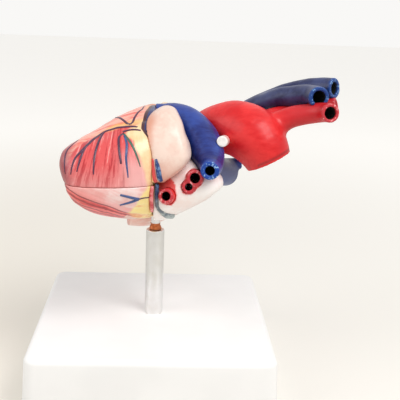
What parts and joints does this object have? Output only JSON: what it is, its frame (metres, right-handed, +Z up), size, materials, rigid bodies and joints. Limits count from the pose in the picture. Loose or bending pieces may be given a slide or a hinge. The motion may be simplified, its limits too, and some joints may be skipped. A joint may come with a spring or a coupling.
{
  "type": "human heart anatomy model",
  "caption": "Life-size heart model that turns on a chromed post over a square white base; its front wall lifts off a magnetic seam to show chambers and valves.",
  "frame": {"origin": "on the base's underside, on the post's axis", "axes": "+Z up along the post; +X towards the great vessels, -X towards the apex; -Y towards the heart's left side, which faces the viewer; the front wall faces up"},
  "size_m": [0.1938, 0.1532, 0.1954],
  "materials": {
    "white_plastic": "matte moulded white",
    "chrome": "polished chrome plate",
    "steel": "plain zinc-plated steel",
    "brass": "dull copper-coloured",
    "muscle_red": "hand-painted, satin varnish",
    "chamber_pink": "painted, satin",
    "cream": "painted, satin",
    "artery_red": "painted, satin varnish",
    "vein_blue": "painted, gloss varnish",
    "nylon": "natural nylon"
  },
  "bodies": {
    "stand": {"base_shell": "white_plastic", "base_plate": "white_plastic", "base_screw_1": "steel", "base_screw_2": "steel", "base_screw_3": "steel", "base_screw_4": "steel", "post": "chrome", "post_fixing_screw": "steel", "post_fixing_washer": "steel"},
    "pin": {"post_pin": "chrome", "pin_collar": "brass"},
    "heart": {"aorta": "artery_red", "pulmonary_trunk": "vein_blue", "superior_vena_cava": "vein_blue", "inferior_vena_cava": "vein_blue", "left_superior_pulmonary_vein": "artery_red", "left_inferior_pulmonary_vein": "artery_red", "right_superior_pulmonary_vein": "artery_red", "right_inferior_pulmonary_vein": "artery_red", "ligamentum_arteriosum": "cream", "coronary_sinus": "vein_blue", "circumflex_artery": "artery_red", "ventricle_rear": "muscle_red", "papillary_muscle_left_near": "chamber_pink", "papillary_muscle_left_far": "chamber_pink", "papillary_muscle_right_near": "chamber_pink", "papillary_muscle_right_far": "chamber_pink", "socket_bush": "nylon", "rear_magnet_near": "steel", "rear_magnet_apex": "steel", "rear_magnet_septum": "steel", "rear_magnet_far": "steel", "locating_peg_apex": "nylon", "locating_peg_far": "nylon", "mitral_valve": "cream", "tricuspid_valve": "cream", "aortic_valve": "cream", "pulmonary_valve": "cream", "left_atrium": "cream", "right_atrium": "cream"},
    "front_wall": {"front_wall": "muscle_red", "front_magnet_near": "steel", "front_magnet_apex": "steel", "front_magnet_septum": "steel", "front_magnet_far": "steel", "left_auricle": "cream", "right_auricle": "cream"}
  },
  "joints": [
    {"name": "heart_swivel", "type": "hinge", "parent": "stand", "child": "pin", "pos_m": [0, 0, 0.094], "axis": [0, 0, 1], "continuous": true},
    {"name": "heart_lift", "type": "slide", "parent": "pin", "child": "heart", "axis": [0, 0, 1], "range_m": [0, 0.04]},
    {"name": "front_wall_lift", "type": "slide", "parent": "heart", "child": "front_wall", "axis": [0, 0, 1], "range_m": [0, 0.12]}
  ]
}
